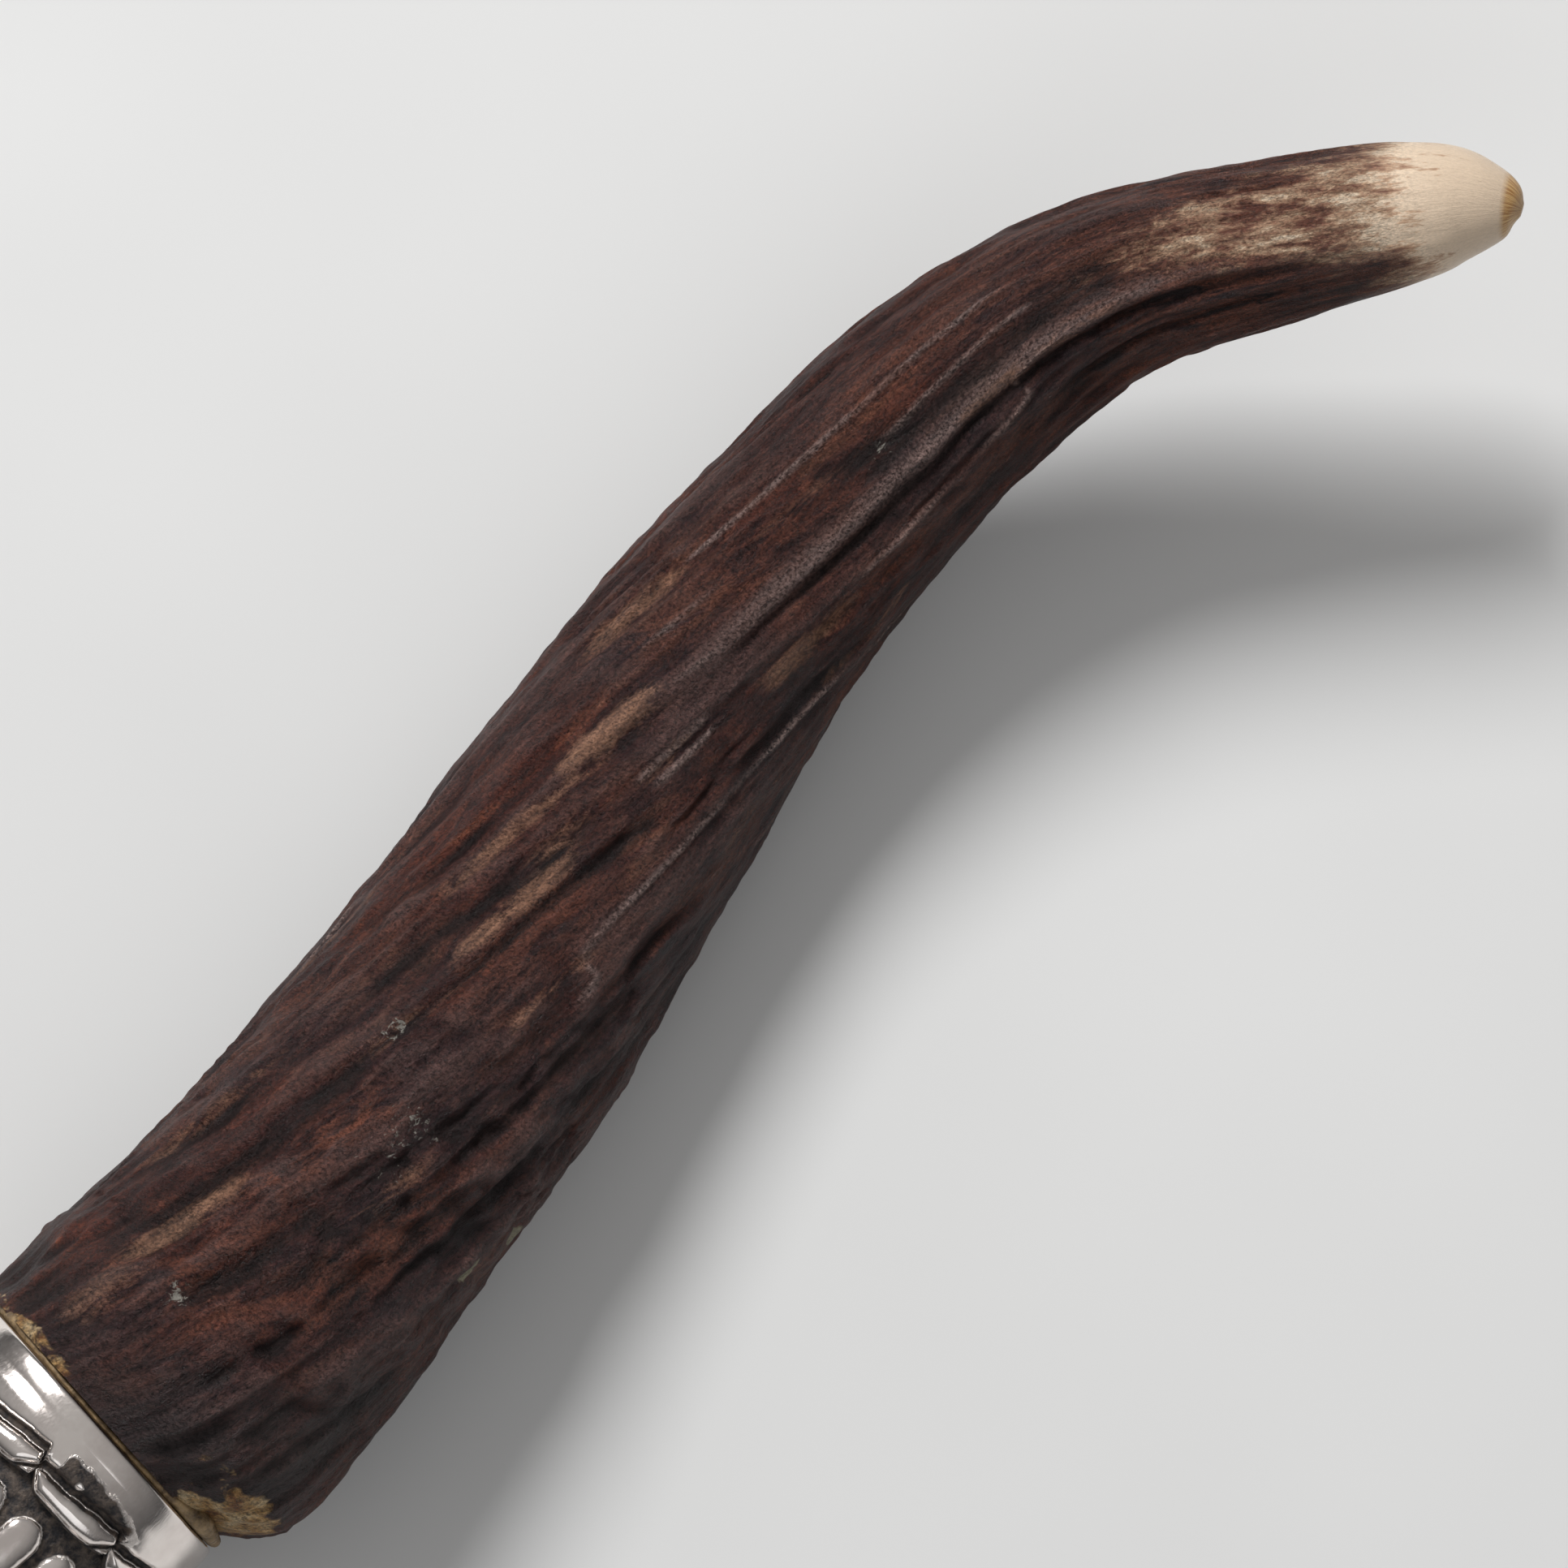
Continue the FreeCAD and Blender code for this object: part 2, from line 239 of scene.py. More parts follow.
class Shader:
    """A Principled material with short calls for its nodes."""

    def __init__(self, name, **settings):
        self.material = bpy.data.materials.new(name)
        self.material.use_nodes = True
        self.nodes = self.material.node_tree.nodes
        self.links = self.material.node_tree.links
        self.surface = self.nodes["Principled BSDF"]
        for socket, value in settings.items():
            self.surface.inputs[socket.replace("_", " ")].default_value = value

    def node(self, kind, inputs=(), **settings):
        made = self.nodes.new("ShaderNode" + kind)
        for key, value in settings.items():
            setattr(made, key, value)
        for key, value in dict(inputs).items():
            self.put(made.inputs[key], value)
        return made

    def put(self, socket, value):
        if isinstance(value, bpy.types.NodeSocket):
            self.links.new(value, socket)
        else:
            socket.default_value = value

    def set(self, name, value):
        self.put(self.surface.inputs[name], value)

    def attribute(self, name, kind="Fac"):
        return self.node("Attribute", attribute_name=name).outputs[kind]

    def place(self):
        """Position in the row frame, in millimetres."""
        coordinates = self.node("TexCoord").outputs["Object"]
        return self.scaled(coordinates, (1 / MM,) * 3)

    def scaled(self, vector, factors):
        made = self.node("VectorMath", {0: vector, 1: factors}, operation="MULTIPLY")
        return made.outputs[0]

    def noise(self, vector, scale, detail=3.0, roughness=0.55, distortion=0.0):
        return self.node("TexNoise", {"Vector": vector, "Scale": scale, "Detail": detail,
                                      "Roughness": roughness,
                                      "Distortion": distortion}).outputs["Fac"]

    def cells(self, vector, scale, randomness=1.0):
        return self.node("TexVoronoi", {"Vector": vector, "Scale": scale,
                                        "Randomness": randomness}).outputs["Distance"]

    def ramp(self, amount, stops):
        made = self.node("ValToRGB", {"Fac": amount})
        band = made.color_ramp.elements
        while len(band) < len(stops):
            band.new(0.5)
        for element, (place, colour) in zip(band, stops):
            element.position = place
            element.color = (*colour, 1)
        return made.outputs["Color"]

    def spread(self, amount, low, high, bottom=0.0, top=1.0):
        """Map a number from low..high to bottom..top, held at both ends."""
        return self.node("MapRange", {"Value": amount, "From Min": low, "From Max": high,
                                      "To Min": bottom, "To Max": top}).outputs[0]

    def mix(self, amount, first, second, blend="MIX"):
        made = self.node("Mix", data_type="RGBA", blend_type=blend)
        self.put(made.inputs["Factor"], amount)
        self.put(made.inputs[6], first if not isinstance(first, tuple) else (*first, 1))
        self.put(made.inputs[7], second if not isinstance(second, tuple) else (*second, 1))
        return made.outputs[2]

    def math(self, operation, first, second=0.0):
        return self.node("Math", {0: first, 1: second}, operation=operation).outputs[0]

    def bump(self, height, depth, before=None):
        """Bump of a given depth in millimetres, on top of an earlier one."""
        made = self.node("Bump", {"Height": height, "Strength": 1.0, "Distance": depth * MM})
        if before:
            self.put(made.inputs["Normal"], before)
        return made.outputs["Normal"]


def antler_material():
    """Dark fluted antler: rust and tan streaks, painted ridge sheen and groove shade, pale polished
    tip.
    """
    shader = Shader("antler", IOR=1.5, Specular_IOR_Level=0.30)
    grain = shader.attribute("grain", "Vector")
    relief = shader.attribute("relief")
    broad = shader.noise(shader.scaled(grain, (0.20, 1.0, 1.0)), 0.34, 5.0, 0.62, 0.5)
    narrow = shader.noise(shader.scaled(grain, (0.27, 1.0, 1.0)), 1.0, 6.0, 0.72, 0.9)
    sand = shader.noise(grain, 4.6, 3.0, 0.75)
    zones = shader.noise(shader.scaled(grain, (0.3, 1.0, 1.0)), 0.16, 3.0, 0.6, 0.4)
    blend = shader.math("ADD", shader.math("MULTIPLY", broad, 0.45),
                        shader.math("MULTIPLY", narrow, 0.55))
    colour = shader.ramp(blend, [
        (0.36, (0.014, 0.005, 0.005)),
        (0.44, (0.032, 0.011, 0.010)),
        (0.50, (0.054, 0.018, 0.014)),
        (0.56, (0.085, 0.029, 0.019)),
        (0.66, (0.150, 0.062, 0.036)),
    ])
    tint = shader.ramp(zones, [(0.38, (0.82, 0.98, 1.20)), (0.50, (1.0, 0.95, 0.95)),
                               (0.62, (1.20, 0.88, 0.74))])
    colour = shader.mix(1.0, colour, tint, "MULTIPLY")
    # ridge tops get a greyish pink painted sheen, partly rubbed wear
    sheen_and_wear_tops = shader.spread(shader.math("ADD", relief, shader.math("MULTIPLY", narrow, 0.7)),
                         0.55, 1.20, 0.0, 0.62)
    colour = shader.mix(sheen_and_wear_tops, colour, (0.115, 0.062, 0.054))
    # groove bottoms are darkened with painted shade
    painted_groove_shade = shader.spread(relief, -0.05, -0.60, 0.0, 0.85)
    colour = shader.mix(painted_groove_shade, colour, (0.011, 0.006, 0.006))
    # thin crests and the dominant ridge are lightened with a painted highlight, partly worn crests
    crest_sheen_and_wear = shader.math("MULTIPLY", shader.attribute("crest_sheen_and_wear"),
                        shader.spread(sand, 0.38, 0.56, 0.25, 1.0))
    colour = shader.mix(crest_sheen_and_wear, colour, (0.26, 0.185, 0.165))
    # streaks worn down to the tan under-layer, and redder ones
    worn = shader.math("ADD", shader.attribute("tan"),
                       shader.math("MULTIPLY", shader.math("SUBTRACT", narrow, 0.5), 3.6))
    worn = shader.math("MULTIPLY", shader.spread(worn, 0.15, 1.35),
                       shader.spread(shader.attribute("tan"), 0.02, 0.5))
    worn = shader.math("MULTIPLY", worn, shader.spread(sand, 0.36, 0.52, 0.45, 1.0))
    colour = shader.mix(worn, colour, (0.36, 0.190, 0.118))
    rust = shader.math("MULTIPLY", shader.attribute("rust"), shader.spread(narrow, 0.42, 0.62))
    colour = shader.mix(rust, colour, (0.160, 0.052, 0.030))
    # blackened ring next to the ferrule, cement on the sawn face
    black = shader.math("MULTIPLY", shader.attribute("black"), shader.spread(broad, 0.3, 0.55))
    colour = shader.mix(black, colour, (0.030, 0.024, 0.024))
    patch = shader.noise(grain, 0.55, 3.0, 0.6, 0.5)
    cement = shader.math("ADD", shader.attribute("cement"),
                         shader.math("MULTIPLY", shader.math("SUBTRACT", patch, 0.5), 1.6))
    cement = shader.math("MULTIPLY", shader.spread(cement, 0.42, 0.56),
                         shader.spread(shader.attribute("cement"), 0.02, 0.2))
    lime = shader.noise(grain, 0.7, 4.0, 0.6)
    colour = shader.mix(cement, colour, shader.ramp(lime, [
        (0.36, (0.17, 0.070, 0.025)), (0.50, (0.40, 0.24, 0.095)), (0.68, (0.56, 0.44, 0.27))]))
    # pale polished tip, mottled with brown where it begins
    pale = shader.attribute("pale")
    blotches = shader.noise(shader.scaled(grain, (0.60, 1.0, 1.0)), 0.55, 4.0, 0.55, 0.3)
    veins = shader.noise(shader.scaled(grain, (0.75, 1.0, 1.0)), 1.7, 4.0, 0.62, 0.8)
    for mottle, reach in ((blotches, 2.4), (veins, 1.3)):
        mottle = shader.math("MULTIPLY", shader.math("SUBTRACT", mottle, 0.5), reach)
        pale = shader.math("ADD", pale, mottle)
    ivory = shader.ramp(pale, [
        (0.05, (0.085, 0.028, 0.017)),
        (0.30, (0.150, 0.062, 0.040)),
        (0.52, (0.29, 0.160, 0.100)),
        (0.78, (0.46, 0.305, 0.200)),
        (1.00, (0.66, 0.520, 0.385)),
    ])
    reached = shader.math("MULTIPLY", shader.spread(pale, -0.1, 0.30),
                          shader.spread(shader.attribute("pale"), 0.01, 0.30))
    colour = shader.mix(reached, colour, ivory)
    colour = shader.mix(shader.attribute("amber"), colour, shader.ramp(veins, [
        (0.40, (0.36, 0.17, 0.050)), (0.60, (0.62, 0.40, 0.17))]))
    # fine sandy grain, then chalky flecks and flakes of residue
    grit = shader.math("MULTIPLY", shader.spread(shader.attribute("pale"), 0.3, 1.2, 0.9, 0.12),
                       shader.spread(shader.attribute("tan"), 0.2, 0.8, 1.0, 0.5))
    colour = shader.mix(grit, colour, shader.ramp(sand, [(0.34, (0.20,) * 3), (0.50, (1.0,) * 3),
                                                         (0.64, (1.65,) * 3)]), "MULTIPLY")
    chips = shader.noise(shader.scaled(grain, (0.6, 1.0, 1.0)), 3.0, 5.0, 0.8, 0.8)
    flecks = shader.math("ADD", chips, shader.math("MULTIPLY", patch, 0.6))
    flecks = shader.math("ADD", flecks, shader.math("MULTIPLY", shader.attribute("specks"), 0.34))
    flecks = shader.math("MULTIPLY", shader.spread(flecks, 1.10, 1.14),
                         shader.spread(shader.attribute("specks"), 0.05, 0.25))
    colour = shader.mix(flecks, colour, (0.33, 0.31, 0.27))
    flake = shader.math("ADD", shader.attribute("residue"), shader.math("MULTIPLY", patch, 0.8))
    flake = shader.spread(flake, 0.94, 1.0)
    colour = shader.mix(flake, colour, shader.ramp(sand, [
        (0.35, (0.12, 0.10, 0.055)), (0.6, (0.36, 0.33, 0.22))]))
    shader.set("Base Color", colour)
    rough = shader.spread(shader.math("ADD", sand, shader.math("MULTIPLY", narrow, 0.7)),
                          0.6, 1.1, 0.27, 0.58)
    polish = shader.spread(shader.attribute("pale"), 0.5, 1.2, 0.0, 1.0)
    shader.set("Roughness", shader.mix(polish, rough, (0.30, 0.30, 0.30)))
    # shallow fibres along the grain, pores, sand
    fibres = shader.noise(shader.scaled(grain, (0.24, 1.0, 1.0)), 1.9, 6.0, 0.78, 0.6)
    pores = shader.spread(shader.cells(shader.scaled(grain, (0.6, 1.0, 1.0)), 2.1), 0.08, 0.22)
    unworn = shader.spread(shader.attribute("pale"), 0.9, 0.3, 0.10, 1.0)
    normal = shader.bump(shader.math("MULTIPLY", fibres, unworn), 0.60)
    normal = shader.bump(shader.math("MULTIPLY", pores, unworn), 0.06, normal)
    normal = shader.bump(shader.math("MULTIPLY", sand, unworn), 0.21, normal)
    shader.set("Normal", normal)
    return shader.material


def silver_material(name, tarnish):
    """Polished silver with soft scratches; tarnish is how much dirt sits in its low places."""
    shader = Shader(name, Metallic=1.0)
    place = shader.place()
    low = shader.attribute("low")
    clouds = shader.noise(place, 0.35, 4.0, 0.6)
    grime = shader.noise(place, 1.4, 5.0, 0.68)
    dirt = shader.math("ADD", low, shader.math("MULTIPLY", shader.math("SUBTRACT", grime, 0.5),
                                               0.9))
    dirt = shader.spread(dirt, 0.35, 0.75, 0.0, tarnish)
    clean = shader.ramp(clouds, [(0.35, (0.78, 0.71, 0.67)), (0.6, (0.92, 0.855, 0.81))])
    dark = shader.ramp(grime, [(0.40, (0.014, 0.013, 0.015)), (0.68, (0.13, 0.100, 0.080))])
    shader.set("Base Color", shader.mix(dirt, clean, dark))
    shader.set("Metallic", shader.spread(dirt, 0.2, 1.0, 1.0, 0.30))
    scratches = shader.noise(shader.scaled(place, (0.5, 2.0, 2.0)), 6.0, 3.0, 0.6)
    smear = shader.spread(scratches, 0.35, 0.7, 0.10, 0.22)
    shader.set("Roughness", shader.mix(dirt, smear, (0.62, 0.62, 0.62)))
    normal = shader.bump(scratches, 0.005)
    normal = shader.bump(shader.math("MULTIPLY", grime, dirt), 0.25, normal)
    shader.set("Normal", normal)
    return shader.material


def steel_material(name, colour, roughness, stain):
    """Worked steel: fine marks along the grain, grey patina clouds and a few brown stains."""
    shader = Shader(name, Metallic=1.0)
    place = shader.place()
    marks = shader.noise(shader.scaled(place, (0.08, 1.0, 1.0)), 7.0, 3.0, 0.6)
    clouds = shader.noise(place, 0.12, 5.0, 0.65)
    dark = tuple(part * 0.75 for part in colour)
    base = shader.mix(shader.spread(clouds, 0.30, 0.70), dark, colour)
    spots = shader.math("MULTIPLY", shader.spread(shader.noise(place, 0.55, 6.0, 0.75), 0.58, 0.68),
                        stain)
    base = shader.mix(spots, base, (0.115, 0.058, 0.032))
    shader.set("Base Color", base)
    shader.set("Metallic", shader.spread(spots, 0.0, 1.0, 1.0, 0.35))
    rough = shader.spread(marks, 0.3, 0.7, roughness * 0.75, roughness * 1.35)
    shader.set("Roughness", shader.mix(spots, rough, (0.7, 0.7, 0.7)))
    normal = shader.bump(marks, 0.02)
    normal = shader.bump(spots, 0.04, normal)
    shader.set("Normal", normal)
    return shader.material


def filler_material(name, dark, light):
    """Glue, cement or pitch: lumpy, slightly glossy, mottled."""
    shader = Shader(name, IOR=1.5)
    place = shader.place()
    lumps = shader.noise(place, 1.1, 5.0, 0.65)
    grit = shader.noise(place, 4.5, 3.0, 0.7)
    shader.set("Base Color", shader.ramp(lumps, [(0.32, dark), (0.68, light)]))
    shader.set("Roughness", shader.spread(grit, 0.3, 0.7, 0.35, 0.7))
    normal = shader.bump(lumps, 0.25)
    shader.set("Normal", shader.bump(grit, 0.06, normal))
    return shader.material


# ---------------------------------------------------------------- antler

# centre of the antler (behind the rim, left, above the axis), width and height, in millimetres;
# the last four rows round the tip off, leaning to the right
ANTLER = np.array([
    (0.4, -0.3, 0.0, 23.3, 22.2),
    (4.0, -0.9, 0.1, 24.9, 23.6),
    (10.0, -0.6, -0.5, 24.6, 23.3),
    (22.0, 1.2, -1.5, 22.7, 21.4),
    (35.0, 3.7, -2.9, 21.1, 19.8),
    (48.0, 7.2, -4.2, 19.7, 18.4),
    (60.0, 10.5, -4.3, 18.3, 17.2),
    (73.0, 12.6, -3.0, 16.4, 15.4),
    (86.0, 13.25, -0.5, 14.7, 13.7),
    (98.0, 10.85, 2.2, 12.4, 11.9),
    (109.0, 5.1, 4.2, 10.4, 10.1),
    (115.5, 1.1, 5.2, 9.2, 8.8),
    (118.1, -0.75, 5.5, 7.7, 7.6),
    (119.55, -2.2, 5.8, 5.7, 5.8),
    (120.5, -3.3, 6.0, 3.5, 3.5),
    (120.85, -3.85, 6.05, 0.9, 0.9),
])
# how far the grain has turned about the antler at each distance behind the rim, in degrees
GRAIN_PLACES = (0.0, 36.0, 72.0, 82.0, 98.0, 122.0)
GRAIN_TURNS = (0.0, 46.0, 95.0, 102.0, 97.0, 112.0)
GRAIN_RADIUS = 9.0
RINGS_BASE, RINGS_MIDDLE, RINGS_TIP = 24, 310, 40
ANTLER_AROUND = 264
CHAMFER_LENGTH = 4.6
SPIGOT_LENGTH = 9.0
BORE_RADIUS = 3.8

# marks on the antler: (from, to, grain angle in degrees, half width in millimetres, strength)
TAN_STREAKS = (
    (50.5, 58.5, 6, 0.95, 1.0), (58.5, 66.0, -28, 0.9, 0.7), (63.5, 72.5, 37, 0.8, 0.8),
    (40.0, 52.0, 11, 0.55, 0.75), (40.5, 46.5, 34, 0.7, 0.9), (36.5, 40.5, 33, 0.6, 0.8),
    (8.0, 17.5, 50, 0.65, 0.95), (2.5, 8.0, 57, 0.9, 0.55), (44.0, 50.0, 26, 0.6, 0.5),
    (86.0, 92.0, 12, 0.7, 0.7), (93.0, 99.0, 14, 0.8, 0.5), (14.0, 26.0, 18, 0.4, 0.4),
    (30.0, 38.0, -20, 0.35, 0.4), (66.0, 76.0, 60, 0.5, 0.5), (52.0, 60.0, 78, 0.5, 0.4),
    (27.0, 35.0, 40, 0.45, 0.45), (53.0, 58.0, 30, 0.5, 0.5), (70.0, 80.0, -14, 0.4, 0.4),
    (18.0, 25.0, 84, 0.5, 0.4), (34.0, 42.0, 66, 0.45, 0.45), (78.0, 86.0, 50, 0.45, 0.4),
)
RUST_STREAKS = (
    (16.0, 27.0, 57, 1.3, 0.95), (5.0, 16.0, 66, 1.0, 0.8), (12.0, 26.0, 96, 1.3, 0.8),
    (34.0, 46.0, 48, 1.5, 0.6), (2.0, 12.0, 84, 0.9, 0.5), (60.0, 78.0, -8, 2.0, 0.6),
    (78.0, 100.0, -30, 2.5, 0.7), (20.0, 40.0, 0, 1.2, 0.5), (88.0, 104.0, 48, 1.2, 0.6),
    (50.0, 70.0, 90, 1.5, 0.5), (97.0, 114.0, 30, 3.0, 0.9), (98.0, 114.0, 62, 3.0, 0.8),
    (90.0, 112.0, -60, 2.5, 0.8), (70.0, 90.0, 40, 1.5, 0.7),
)
# ridges that stand out on the upper side: (from, to, grain angle in degrees, half width,
# height); a negative height is a groove
NAMED_RIDGES = (
    (56, 112, 11, 0.90, 0.50), (62, 110, 18, 0.42, -0.40), (52, 66, 25, 0.6, 0.42),
    (60, 70, 17, 0.35, -0.25), (60, 104, 27, 0.6, 0.22), (46, 66, 51, 0.35, 0.32),
    (50, 72, 56, 0.35, -0.16),
    (28, 54, 42, 0.5, -0.34), (4, 44, 74, 0.6, -0.40), (2, 34, 64, 0.8, 0.26),
    (8, 46, 90, 0.6, -0.36), (84, 112, 32, 0.7, 0.26), (90, 112, 41, 0.5, -0.34),
    (72, 98, 34, 0.7, 0.26), (34, 62, 5, 0.5, 0.30), (30, 58, -4, 0.5, -0.28),
    (2, 24, 44, 0.5, -0.30), (12, 50, 22, 0.45, -0.28), (6, 40, 108, 0.5, -0.34),
)
# spots on the antler: (behind the rim, angle in degrees, half length, strength)
BLACK_SPOTS = ((9, 150, 5.0, 0.9),)
CHALK_SPOTS = (
    (30.5, 78, 1.3, 1.0), (25.5, 104, 3.2, 0.8), (81, 96, 2.0, 0.9), (8, 81, 1.1, 1.0),
    (60, 70, 1.5, 0.3),
)
RESIDUE_SPOTS = (
    (22, 156, 1.6, 0.75), (16.5, 148, 1.0, 0.6), (26, 172, 1.6, 0.7), (1.5, 52, 1.6, 0.5),
)
# rounded undulations of the antler: (length, count round it, seed, height)
SWELLS = ((40.0, 8, 3, 0.13), (22.0, 20, 11, 0.13), (9.0, 46, 23, 0.15))
# sharp-topped ones, and those that are only near the ferrule
CREASES = ((11.0, 26, 67, 0.11), (5.0, 50, 71, 0.05))
BASE_CREASES = (12.0, 34, 73, 0.19)


def grain_turn(run):
    """How far the grain has turned about the antler, in radians."""
    return np.radians(smooth_curve(GRAIN_PLACES, GRAIN_TURNS, run))


def streak_mask(run, grain, streaks):
    """How strongly each point lies in one of the listed streaks, from 0 to 1."""
    mask = np.zeros(np.broadcast(run, grain).shape)
    for start, end, angle, width, strength in streaks:
        across = angle_gap(grain, math.radians(angle)) * GRAIN_RADIUS
        ends = between(start - 1.5, start + 1.5, run) * between(end + 1.5, end - 1.5, run)
        mask = np.maximum(mask, strength * ends * bell(across, width))
    return mask


def spot_mask(run, angles, spots):
    """Oval patches given as (behind the rim, angle in degrees, half length, strength)."""
    mask = np.zeros(np.broadcast(run, angles).shape)
    for place, angle, radius, strength in spots:
        across = angle_gap(angles, math.radians(angle)) * GRAIN_RADIUS * 1.7
        mask = np.maximum(mask, strength * bell(np.hypot(run - place, across), radius))
    return mask


def thin_lines(noise, width):
    """Lines of one half width, in millimetres, along the places where a noise is zero."""
    step = TURN * GRAIN_RADIUS / ANTLER_AROUND
    slope = np.abs(np.gradient(noise, axis=1)) / step
    return np.clip(1 - np.abs(noise) / np.maximum(slope, 0.02) / width, 0, 1)


def named_ridges(run, grain):
    """The few ridges and grooves that stand out on the upper side."""
    height = 0
    for start, end, angle, width, rise in NAMED_RIDGES:
        wander = 0.5 * value_noise(np.array(np.broadcast_arrays(run / 7, angle * 1.0, 0.5)), 5)
        across = angle_gap(grain, math.radians(angle)) * GRAIN_RADIUS + wander
        ends = between(start, start + 6, run) * between(end, end - 8, run)
        height = height + rise * ends * bell(across, width)
    return height


def crest_lines(run, grain):
    """Thin sharp crests that come and go along the grain, from 0 to 1."""
    lines = thin_lines(round_noise(run, grain, 26.0, 19, 47, 1), 0.36)
    shown = between(0.05, 0.5, round_noise(run, grain, 7.0, 12, 53, 1))
    return lines * shown * between(22, 34, run)


def creases(run, grain, length, count, seed, rise):
    """Short ridges with sharp tops and round valleys, up to rise high."""
    return rise * (1 - 2.4 * np.abs(round_noise(run, grain, length, count, seed)))


def antler_relief(run, grain):
    """Height of the flutes and ridges above the smooth antler, in millimetres."""
    height = 0
    for length, count, seed, rise in SWELLS:
        height = height + rise * round_noise(run, grain, length, count, seed)
    cracks = thin_lines(round_noise(run, grain, 15.0, 21, 59), 0.50)
    cracks *= between(-0.1, 0.3, round_noise(run, grain, 9.0, 10, 61, 1))
    height -= 0.22 * cracks
    for layer in CREASES:
        height += creases(run, grain, *layer)
    height += creases(run, grain, *BASE_CREASES) * between(60, 25, run)
    height += 0.22 * crest_lines(run, grain)
    knobs = round_noise(run, grain, 1.6, 38, 31)
    rough_side = between(0.2, 1.0, np.cos(angle_gap(grain, math.radians(100))))
    height += knobs * (0.07 + 0.20 * rough_side * between(50, 25, run))
    height += named_ridges(run, grain)
    return height * between(120, 100, run) * (0.3 + 0.7 * between(0.4, 2.5, run))


def ring_places():
    """How far along the centre line the rows of ANTLER lie, and the rings, closest at the ends."""
    steps = np.linalg.norm(np.diff(ANTLER[:, :3], axis=0), axis=1)
    widths = np.abs(np.diff(ANTLER[:, 3])) / 2
    stations = np.concatenate([[0], np.cumsum(np.hypot(steps, widths))])
    base_end = 5
    tip_start = stations[-1] - 9
    places = np.concatenate([
        np.linspace(0, base_end, RINGS_BASE, endpoint=False),
        np.linspace(base_end, tip_start, RINGS_MIDDLE, endpoint=False),
        np.linspace(tip_start, stations[-1], RINGS_TIP),
    ])
    return stations, places


def unit(vectors):
    """Rows scaled to length 1."""
    return vectors / np.linalg.norm(vectors, axis=1)[:, None]


def ring_frames(centres, places):
    """Unit vectors to the left and to the top of each ring; the first rings face the ferrule."""
    turned = between(0, 9, places)[:, None]
    travel = unit(np.gradient(centres, axis=0))
    travel = unit(np.array([1, 0, 0]) * (1 - turned) + travel * turned)
    side = unit(np.stack([-travel[:, 1], travel[:, 0], 0 * places], axis=1))
    return side, np.cross(travel, side)


def make_antler():
    """The antler's outside, its sawn face, the spigot and the blind bore for the tang."""
    stations, places = ring_places()
    run, left, rise, width, height = [smooth_curve(stations, ANTLER[:, column], places)
                                      for column in range(5)]
    centres = np.stack([run, left, rise], axis=1)
    side, over = ring_frames(centres, places)
    angles = np.arange(ANTLER_AROUND) * TURN / ANTLER_AROUND
    along = run[:, None]
    grain = angles[None, :] - grain_turn(along)
    relief = antler_relief(along, grain)
    across = (width / 2)[:, None] * np.cos(angles)
    above = (height / 2)[:, None] * np.sin(angles)
    size = np.hypot(across, above)
    # the relief is cut into the belly it rests on and into its widest place on the left
    tucked = 0.34 * bell(angle_gap(angles, 1.5 * math.pi), 0.8) \
        + 0.48 * bell(angle_gap(angles, 0), 0.5) * bell(along - 72, 18)
    growth = (relief - tucked) * np.minimum(1, size / 4) / np.maximum(size, 0.3)
    # the sawn end is trimmed back most on the right, where it overhangs the ferrule
    trim = 0.15 + 2.1 * bell(angle_gap(angles, math.radians(172)), 0.72)
    cut = trim * np.clip(1 - along / CHAMFER_LENGTH, 0, 1) / np.maximum(size, 0.3)
    scale = (1 + growth - cut)[:, :, None]
    points = (centres[:, None, :] + side[:, None, :] * across[:, :, None] * scale
              + over[:, None, :] * above[:, :, None] * scale)

    marks = antler_marks(along, angles[None, :], grain, relief)
    rings = [points.reshape(-1, 3)]
    spigot_radius = span("ferrule_filling")[2]
    start = ANTLER[0, 0]
    bore_end = span("tang_cement")[1]
    hidden_rings = ((start, spigot_radius), (-SPIGOT_LENGTH, spigot_radius),
                    (-SPIGOT_LENGTH, BORE_RADIUS), (bore_end, BORE_RADIUS))
    for station, radius in hidden_rings:
        rings.insert(0, ring_at(station, radius, angles))
    faces = tube_faces(len(places) + len(hidden_rings), ANTLER_AROUND)
    padding = len(hidden_rings) * ANTLER_AROUND
    attributes = {}
    for name, numbers in marks.items():
        numbers = numbers.reshape(-1, 3) if numbers.ndim == 3 else numbers.ravel()
        blank = np.zeros((padding,) + numbers.shape[1:])
        attributes[name] = np.concatenate([blank, numbers])
    piece = make_piece("antler_skin", np.concatenate(rings), faces, antler_material(),
                       RELIEF_EDGE, attributes)
    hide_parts("antler_handle")


